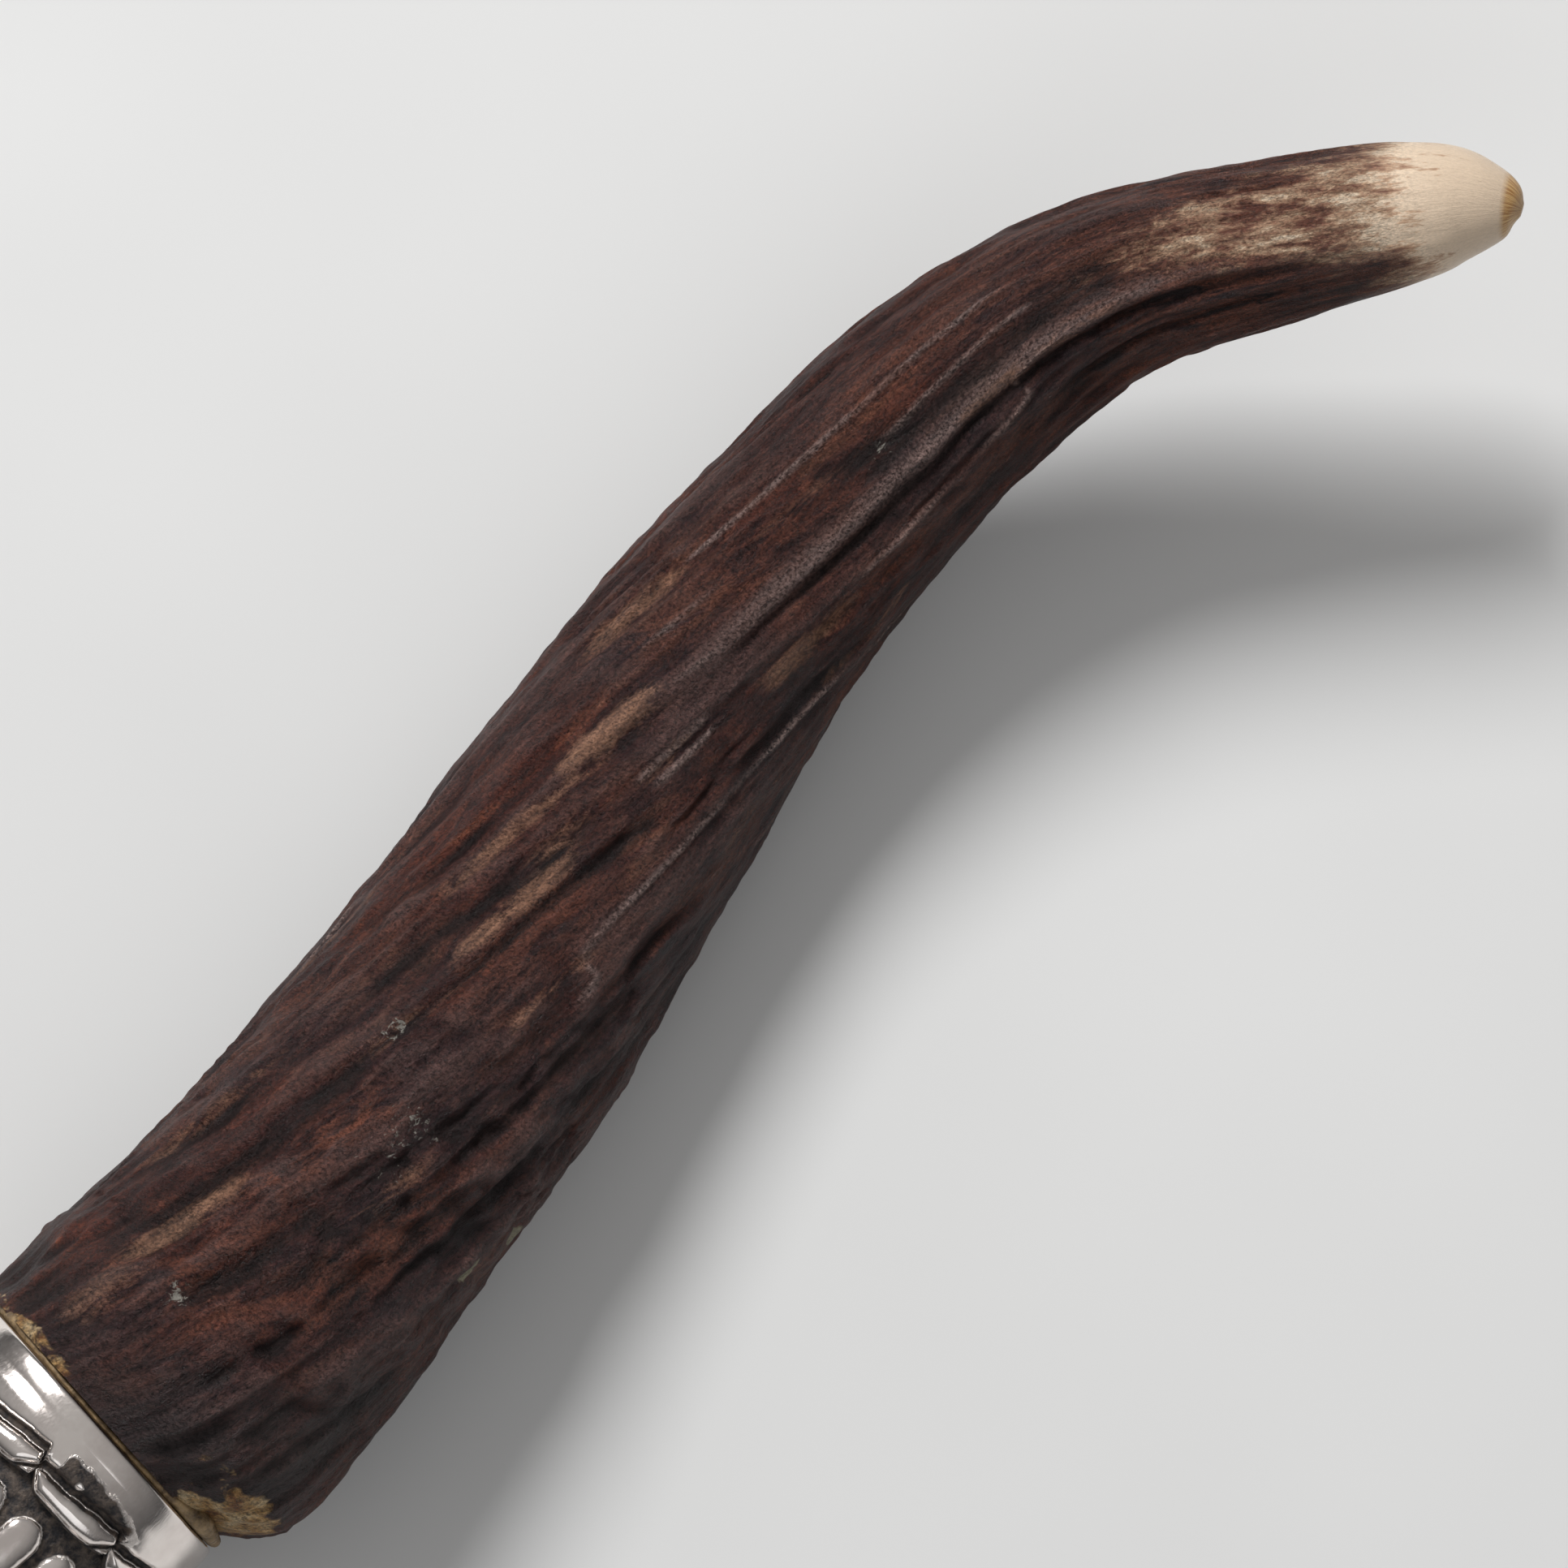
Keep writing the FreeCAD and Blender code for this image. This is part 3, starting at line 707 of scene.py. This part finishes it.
def antler_marks(run, angles, grain, relief):
    """Painted masks and the coordinates that the antler's grain follows."""
    shape = np.broadcast(run, grain).shape
    coordinates = np.stack(np.broadcast_arrays(run, GRAIN_RADIUS * np.cos(grain),
                                               GRAIN_RADIUS * np.sin(grain)), axis=-1)
    top = bell(angle_gap(angles, math.radians(84)), 0.62)
    tip_start = 115.0 - 15.0 * top
    pale = 0.60 * between(tip_start - 6, tip_start + 6, run) + 0.85 * between(112, 119.5, run)
    # painted sheen along the crest of the dominant ridge
    ridge_sheen = between(60, 70, run) * between(112, 100, run) * bell(
        angle_gap(grain, math.radians(10)) * GRAIN_RADIUS, 0.9)
    return {
        "grain": coordinates,
        "relief": np.clip(relief / 0.5, -1, 1),
        "crest_sheen_and_wear": np.maximum(crest_lines(run, grain) * between(112, 96, run), 0.55 * ridge_sheen),
        "tan": streak_mask(run, grain, TAN_STREAKS),
        "rust": np.maximum(streak_mask(run, grain, RUST_STREAKS), 0.85 * between(90, 106, run)),
        "black": between(9, 2, run) * bell(angle_gap(angles, math.radians(120)), 0.8)
        + spot_mask(run, angles, BLACK_SPOTS),
        "cement": between(6.0, 3.0, run) * bell(angle_gap(angles, math.radians(160)), 0.46)
        + 0.75 * between(2.0, 0.6, run) * bell(angle_gap(angles, math.radians(56)), 0.42),
        "specks": spot_mask(run, angles, CHALK_SPOTS),
        "residue": spot_mask(run, angles, RESIDUE_SPOTS),
        "pale": np.broadcast_to(pale, shape),
        "amber": np.broadcast_to(between(120.1, 120.4, run), shape),
    }


# ---------------------------------------------------------------- ferrule

RIBS = 18
RIB_POINTS = 22
RIB_RISE = 0.32
LOBES = 9
BAND_AROUND = 540
LIP_AROUND, BEAD_AROUND = 288, 256
WALL = 0.6


def lobe_phase(angles):
    """How far along its lobe each angle lies, from 0 at the blunt end to 1 at the point."""
    return (angles * LOBES / TURN + 0.62) % 1


def make_shell():
    """Embossed shell: rounded ribs on a sunken matt ground, plain under the band."""
    front, rear, _ = span("ferrule_shell")
    around = RIBS * RIB_POINTS
    angles = np.arange(around) * TURN / around
    band_front = span("ferrule_band")[0]
    neck_radius = span("ferrule_end_plate")[2]
    bore = rear_bore()
    neck_end = span("ferrule_neck_ring")[1] + 0.8
    ribs_front, ribs_rear = neck_end + 0.4, band_front - 1.3

    stations = np.concatenate([np.linspace(front, ribs_front, 12, endpoint=False),
                               np.linspace(ribs_front, ribs_rear, 120, endpoint=False),
                               np.linspace(ribs_rear, rear, 20)])
    part = np.clip((stations - neck_end) / (band_front - neck_end), 0, 1)
    envelope = neck_radius + (bore - neck_radius) * part + 2.0 * part * (1 - part)
    along, turned = stations[:, None], angles[None, :]
    beside = (turned % (TURN / RIBS) / (TURN / RIBS) - 0.5) * 2
    reach = np.minimum(along - ribs_front, ribs_rear - along)
    rounded_end = np.sqrt(np.clip(1 - np.clip(1 - reach / 1.7, 0, 1) ** 2, 0, 1))
    width = 0.80 + 0.05 * round_noise(along, turned, 3.0, 18, 67, 1)
    crown = np.sqrt(np.clip(1 - (beside / (width * np.maximum(rounded_end, 0.02))) ** 2, 0, 1))
    rib = crown * rounded_end * (reach > 0)
    sunk = between(ribs_front - 1.2, ribs_front + 0.3, along)
    matting = 0.05 * round_noise(along, turned, 0.55, 130, 71)
    ground = -0.45 + matting
    dents = 0.05 * round_noise(along, turned, 4.0, 16, 83)
    radius = envelope[:, None] + sunk * (ground * (1 - rib) + (RIB_RISE + dents) * rib)

    rings = [ring_at(along, radius, angles).reshape(-1, 3)]
    inner_rings = ((rear, bore - WALL), (band_front, bore - WALL),
                   (neck_end, neck_radius - WALL), (front, neck_radius - WALL))
    for station, size in inner_rings:
        rings.append(ring_at(station, size, angles))
    faces = grid_faces(len(stations) + len(inner_rings), around, True)
    low = sunk * (1 - np.clip(rib * 1.5, 0, 1)) + 0 * turned
    low = np.concatenate([low.ravel(), np.zeros(len(inner_rings) * around)])
    shell = make_piece("embossed_shell", np.concatenate(rings), faces,
                       silver_material("embossed_silver", 1.0), RELIEF_EDGE,
                       {"low": low})
    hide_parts("ferrule_shell")


def rear_bore():
    """Outer radius of the shell's plain rear, which the band and the lip sit on."""
    return span("ferrule_filling")[2] + WALL


def make_band():
    """Polished band, a dark ragged groove, and a row of slanting pointed lobes before it."""
    _, rear, size = span("ferrule_band")
    bore = rear_bore()
    angles = np.arange(BAND_AROUND) * TURN / BAND_AROUND
    phase = lobe_phase(angles)
    pitch = TURN * size / LOBES
    ragged = round_noise(np.zeros(BAND_AROUND), angles, 1.0, 60, 91, 3)
    # distances ahead of the band's rear edge: the groove, and the lobes' rounded front edges
    groove = 2.75 - 1.0 * phase ** 1.3 * between(1.0, 0.93, phase) + 0.08 * ragged
    edge = 3.45 + 1.05 * (between(0, 0.16, phase) * between(1.25, 0.55, phase)) ** 0.6
    across = np.linspace(0, 1, 84)[:, None]
    depth = across * edge[None, :]
    # the slanting cut between one lobe's point and the next lobe's blunt end
    slant = 1.0 + (3.1 - depth) * 0.16
    gap = (phase[None, :] - slant + 0.5) % 1 - 0.5
    cut = np.abs(gap) * pitch * 0.8 + 9 * (depth < groove)
    ditch = np.abs(depth - groove)
    nearest = np.minimum(np.minimum(cut, ditch - 0.10), edge - depth)
    lobe = depth > groove
    rise = 1 - np.exp(-(np.clip(nearest, 0, None) / np.where(lobe, 0.42, 0.20)) ** 1.4)
    flats = 0.07 * round_noise(depth, angles[None, :], 3.0, 22, 97, 1) * between(0, 1, depth)
    full = size - bore
    top = np.where(lobe, 0.86 * full, 0.97 * full - 0.16 * between(1.2, 0.0, depth))
    radius = bore + 0.12 + (top - 0.12 + flats - 0.04) * rise
    outer = ring_at(rear - depth, radius, angles)
    under = [ring_at(station, bore - 0.01, angles) for station in (rear - edge, rear)]
    points = np.concatenate([outer.reshape(-1, 3)] + under)
    faces = grid_faces(len(across) + len(under), BAND_AROUND, True)
    stained = round_noise(depth, angles[None, :], 2.2, 26, 101, 3)
    patch = bell(angle_gap(angles, math.radians(112)), 0.34) * bell(depth - 1.9, 0.95)
    patch = patch * (depth < groove + 0.2)
    low = 1.25 * bell(nearest, 0.20) + 2.2 * patch * between(-0.7, 0.0, stained)
    low = np.concatenate([np.clip(low, 0, 1).ravel(), np.zeros(len(under) * BAND_AROUND)])
    band = make_piece("polished_band", points, faces, silver_material("band_silver", 1.0),
                      RELIEF_EDGE, {"low": low})
    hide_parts("ferrule_band")


def make_lip():
    """Rear lip: a low flat ring that carries on the band's surface and rounds off at the rim."""
    front, rear, size = span("ferrule_lip_ring")
    bore = rear_bore()
    outline = [(front, bore), (rear, bore), (rear, size - 0.42)]
    outline += arc((rear, size - 0.42), (rear - 0.35, size - 0.12), 0.07, 6)
    outline += arc((rear - 0.35, size - 0.12), (front, size - 0.03), 0.05, 10)

    def dented(along, angles, radius):
        dents = 1 + round_noise(along, angles, 5.0, 16, 107, 1)
        return radius - 0.03 * dents * between(front, front + 0.6, along) * (radius > bore + 0.1)

    lip = turn_outline("rear_lip", outline, LIP_AROUND, silver_material("lip_silver", 0.5),
                       dented)
    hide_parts("ferrule_lip_ring")


def make_neck_bead():
    """Half-round bead where the shell meets its front plate."""
    front, rear, size = span("ferrule_neck_ring")
    bore = span("ferrule_end_plate")[2]
    outline = [(front, bore), (rear, bore)]
    outline += arc((rear, bore + 0.05), (front, bore + 0.05), size - bore - 0.05, 20)
    bead = turn_outline("neck_bead", outline, BEAD_AROUND, silver_material("bead_silver", 0.6))
    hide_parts("ferrule_neck_ring")


def make_glue():
    """Glue squeezed out round the joint, thickest where the antler overhangs the ferrule."""
    around, steps = 300, 10
    angles = np.arange(around) * TURN / around
    rear = span("joint_glue")[1]
    bore = span("ferrule_filling")[2]
    full = bell(angle_gap(angles, math.radians(160)), 0.42) \
        + 0.45 * bell(angle_gap(angles, math.radians(46)), 0.32)
    lumps = round_noise(np.zeros(around), angles, 1.0, 44, 41, 3)
    reach = rear + 0.9 * full * (1 + 0.4 * lumps)
    size = span("ferrule_lip_ring")[2] - 0.75 + 0.12 * lumps + 1.0 * full * (0.8 + 0.3 * lumps)
    turn = np.linspace(0, math.pi, steps)[:, None]
    front = 0.01
    along = front + reach * (1 - np.cos(turn)) / 2
    radius = bore + 0.3 + (size - bore - 0.3) * np.sin(turn) ** 0.6
    outer = ring_at(along, radius, angles)
    inner = [ring_at(station, bore, angles) for station in (rear, front)]
    points = np.concatenate([outer.reshape(-1, 3)] + inner)
    faces = grid_faces(steps + len(inner), around, True)
    glue = make_piece("squeezed_glue", points, faces,
                      filler_material("old_glue", (0.055, 0.030, 0.012), (0.34, 0.23, 0.11)))
    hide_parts("joint_glue")


# ---------------------------------------------------------------- steel parts

ROD_RIDGES = 56
RIDGE_POINTS = 5
RIDGE_DEPTH = 0.13
ROD_EDGE = 62.0
ROD_RINGS, NOSE_RINGS = 60, 14
COLLAR_AROUND = 220
BAR_RADIUS = 3.8
TANG_WAIST, TANG_POINT = 3.2, 2.0
ROD_ROOT, ROD_POINT = 4.7, 3.9
NOSE_LENGTH = 5.0
AXIS_RADIUS = 0.02


def rod_outline():
    """Outline of the bar from the tang's end to the rod's tip, and where shank and tip are."""
    tip, tang_end, shank_radius = span("sharpening_rod")
    shoulder = span("bolster")[0]
    plate_rear = span("ferrule_end_plate")[1]
    shank = shoulder - SHANK["dims"]["length_mm"]
    outline = [(tang_end, TANG_POINT), (-SPIGOT_LENGTH, TANG_WAIST), (plate_rear, BAR_RADIUS),
               (shoulder, BAR_RADIUS)]
    rod_start, nose_start = shank - 2, tip + NOSE_LENGTH
    step = [(shoulder, BAR_RADIUS), (shoulder, shank_radius), (shank - 0.4, shank_radius),
            (shank - 1.4, ROD_ROOT), (shank - 6, ROD_ROOT)]
    for before, corner, after in zip(step, step[1:], step[2:]):
        outline += soften_corner(before, corner, after, 0.3, 3)
    for part in np.linspace(0, 1, ROD_RINGS):
        outline.append((rod_start + (nose_start - rod_start) * part,
                        ROD_ROOT + (ROD_POINT - ROD_ROOT) * part))
    for turn in np.linspace(0.08, 1, NOSE_RINGS)[:-1] * math.pi / 2:
        outline.append((nose_start - NOSE_LENGTH * math.sin(turn),
                        ROD_POINT * math.cos(turn) ** 0.62))
    outline.append((tip, AXIS_RADIUS))
    return np.array([tuple(place) for place in outline]), shank, tip


def make_rod():
    """Steel rod: fine lengthwise ridges, plain shank, rounded nose, and the tang behind it."""
    outline, shank, tip = rod_outline()
    around = ROD_RIDGES * RIDGE_POINTS
    angles = np.arange(around) * TURN / around
    along = outline[:, :1]
    saw = np.abs((angles * ROD_RIDGES / TURN) % 1 - 0.5) * 2
    zone = between(shank - 2.5, shank - 6, along) * between(tip + 3, tip + 9, along)
    worn = 0.7 + 0.3 * round_noise(along, angles[None, :], 30.0, 6, 13)
    radius = outline[:, 1:] - RIDGE_DEPTH * zone * worn * saw ** 1.5
    points = ring_at(along, radius, angles)
    rod = make_piece("ridged_rod", points.reshape(-1, 3), tube_faces(len(outline), around),
                     steel_material("rod_steel", (0.46, 0.46, 0.47), 0.33, 0.8),
                     ROD_EDGE)
    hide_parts("sharpening_rod")


def make_bolster():
    """Turned collar: round bead, hollow waist, fillet and flange."""
    front, rear, size = span("bolster")
    flange_front, bead_rear = rear - 2.2, front + 3.2
    bead_radius, waist_radius = 6.9, 6.7
    outline = [(front, BAR_RADIUS), (rear, BAR_RADIUS), (rear, size - 0.5)]
    outline += arc((rear, size - 0.5), (flange_front, size - 0.5), 0.5, 10)
    outline += [(flange_front - 0.15, size - 0.9)]
    outline += arc((flange_front - 0.3, size - 1.0), (bead_rear + 0.2, waist_radius), -0.75, 12)
    outline += [(bead_rear, bead_radius)]
    outline += arc((bead_rear, bead_radius), (front + 0.3, 6.3), 1.05, 14)
    outline += [(front, 6.0)]
    bolster = turn_outline("turned_bolster", outline, COLLAR_AROUND,
                           steel_material("bolster_steel", (0.60, 0.60, 0.60), 0.2, 0.35))
    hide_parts("bolster")


def make_end_plate():
    """Front plate of the ferrule with a softened edge."""
    front, rear, size = span("ferrule_end_plate")
    outline = soften([(front, BAR_RADIUS), (rear, BAR_RADIUS), (rear, size), (front, size)], 0.2)
    plate = turn_outline("front_plate", outline, COLLAR_AROUND,
                         silver_material("plate_silver", 0.6))
    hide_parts("ferrule_end_plate")


# ---------------------------------------------------------------- stage

def look_at_basis(azimuth, elevation):
    """Right, up and back vectors of a camera; azimuth 0 looks along +Y."""
    turn, rise = math.radians(azimuth), math.radians(elevation)
    back = Vector((math.sin(turn) * math.cos(rise), -math.cos(turn) * math.cos(rise),
                   math.sin(rise)))
    right = Vector((math.cos(turn), math.sin(turn), 0))
    return right, back.cross(right), back


def make_camera():
    """Long lens from nearly overhead, framing the handle and the back of the ferrule."""
    azimuth, elevation = -42, 80
    distance, view_width = 0.700, 0.1022
    right, up, back = look_at_basis(azimuth, elevation)
    target = Vector((RIM.x + 60.9 * MM, RIM.y + 1.4 * MM, 0.012))
    data = bpy.data.cameras.new("camera")
    data.sensor_width = 36
    data.lens = data.sensor_width * distance / view_width
    data.clip_start = 0.05
    camera = bpy.data.objects.new("camera", data)
    camera.matrix_world = Matrix.Translation(target + back * distance) @ Matrix(
        (right, up, back)).transposed().to_4x4()
    bpy.context.scene.collection.objects.link(camera)
    bpy.context.scene.camera = camera
    return right, target


def make_light(name, place, target, size, power, colour=(1, 1, 1)):
    """A round lamp at a place, aimed at a target."""
    data = bpy.data.lights.new(name, "AREA")
    data.shape = "DISK"
    data.size = size
    data.energy = power
    data.color = colour
    light = bpy.data.objects.new(name, data)
    light.location = place
    light.rotation_mode = "QUATERNION"
    light.rotation_quaternion = (target - place).to_track_quat("-Z", "Y")
    bpy.context.scene.collection.objects.link(light)


def make_lights(right, target):
    """A soft key from beyond the handle and a weak cool fill from this side."""
    away = Vector((-right.y, right.x, 0))
    middle = Vector((0, 0, 0))
    make_light("key", target + away * 0.62 - right * 0.22 + Vector((0, 0, 0.70)), target,
               size=0.36, power=9)
    make_light("fill", middle - away * 0.9 + Vector((0, 0, 0.9)), middle,
               size=1.2, power=2.4, colour=(0.93, 0.96, 1.0))


def make_world():
    """Surroundings that are bright overhead and dark at the horizon."""
    world = bpy.data.worlds.new("studio")
    world.use_nodes = True
    nodes, links = world.node_tree.nodes, world.node_tree.links
    ramp = nodes.new("ShaderNodeValToRGB")
    ramp.color_ramp.elements[0].position = 0.50
    ramp.color_ramp.elements[0].color = (0.08, 0.08, 0.085, 1)
    ramp.color_ramp.elements[1].position = 0.96
    ramp.color_ramp.elements[1].color = (1.0, 0.985, 0.97, 1)
    split = nodes.new("ShaderNodeSeparateXYZ")
    scale = nodes.new("ShaderNodeMapRange")
    scale.inputs["From Min"].default_value = -1
    coordinates = nodes.new("ShaderNodeTexCoord")
    links.new(coordinates.outputs["Generated"], split.inputs[0])
    links.new(split.outputs["Z"], scale.inputs["Value"])
    links.new(scale.outputs[0], ramp.inputs["Fac"])
    links.new(ramp.outputs["Color"], nodes["Background"].inputs["Color"])
    nodes["Background"].inputs["Strength"].default_value = 0.40
    bpy.context.scene.world = world


def make_floor():
    """Pale matt floor, six metres square."""
    half = 3.0
    mesh = bpy.data.meshes.new("floor")
    mesh.from_pydata([(-half, -half, 0), (half, -half, 0), (half, half, 0), (-half, half, 0)], [],
                     [(0, 1, 2, 3)])
    floor = bpy.data.objects.new("floor", mesh)
    bpy.context.scene.collection.objects.link(floor)
    paint = Shader("pale_floor", Roughness=0.9, Specular_IOR_Level=0.0)
    paint.set("Base Color", paint.ramp(paint.noise(paint.place(), 0.02, 2.0), [
        (0.3, (0.68, 0.68, 0.675)), (0.7, (0.71, 0.71, 0.705))]))
    mesh.materials.append(paint.material)


def main():
    make_lights(*make_camera())
    make_world()
    make_floor()
    bpy.context.scene.view_settings.view_transform = "Standard"
    make_antler()
    make_shell()
    make_band()
    make_glue()
    make_lip()
    make_neck_bead()
    make_rod()
    make_bolster()
    make_end_plate()
    pitch = filler_material("pitch", (0.02, 0.013, 0.01), (0.07, 0.045, 0.03))
    cement = filler_material("tang_cement", (0.30, 0.20, 0.10), (0.52, 0.42, 0.27))
    for node, material in (("ferrule_filling", pitch), ("tang_cement", cement)):
        for holder in frame["nodes"][node].material_slots:
            holder.material = material


main()
